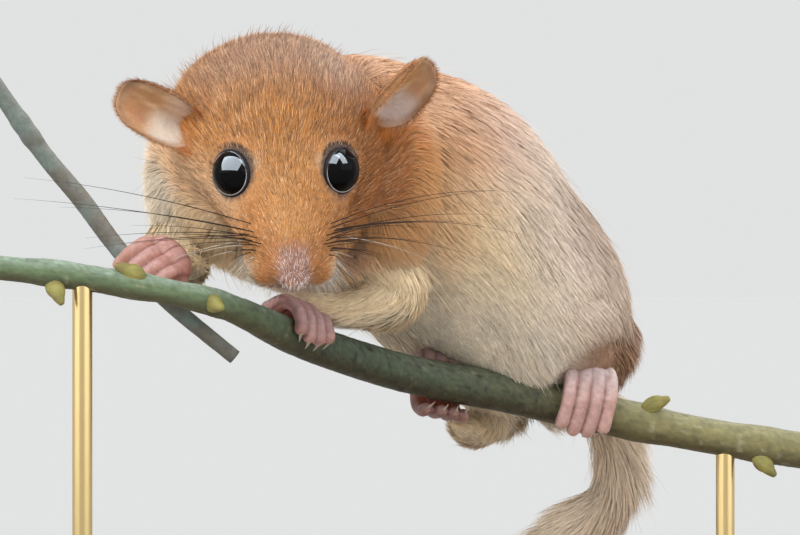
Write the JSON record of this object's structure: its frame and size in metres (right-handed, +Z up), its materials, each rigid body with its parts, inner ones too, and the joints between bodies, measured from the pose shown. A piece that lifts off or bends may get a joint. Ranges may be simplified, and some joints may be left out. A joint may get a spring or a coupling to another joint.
{
  "type": "hazel dormouse model",
  "caption": "Life-size hazel dormouse model crouched on a short cut branch with its tail hanging, held on a plain wooden base by brass rods.",
  "frame": {"origin": "centre of the bounding box at the underside of the stand's base", "axes": "+Z up; +X along the branch towards the animal's rump; the animal's face looks towards -Y"},
  "size_m": [0.1, 0.064, 0.093],
  "materials": {
    "fur": "matte",
    "tail_fur": "matte",
    "bare_skin": "satin",
    "eye": "gloss",
    "bark": "matte",
    "twig_bark": "matte",
    "stand_wood": "satin",
    "stand_brass": "satin"
  },
  "bodies": {
    "root": {"head": "fur", "ear_left": "fur", "ear_right": "fur", "torso_front": "fur", "torso_rear": "fur", "arm_left": "fur", "arm_right": "fur", "thigh_left": "fur", "thigh_right": "fur", "shank_right": "fur", "tail_base": "tail_fur", "tail_middle": "tail_fur", "tail_tip": "tail_fur", "nose": "bare_skin", "forepaw_left": "bare_skin", "forepaw_right": "bare_skin", "hindfoot_left": "bare_skin", "hindfoot_right": "bare_skin", "eye_left": "eye", "eye_right": "eye", "perch_branch": "bark", "perch_twig": "twig_bark", "stand_base": "stand_wood", "stand_collar_left": "stand_brass", "stand_collar_right": "stand_brass", "stand_rod_left": "stand_brass", "stand_rod_right": "stand_brass"}
  },
  "joints": []
}
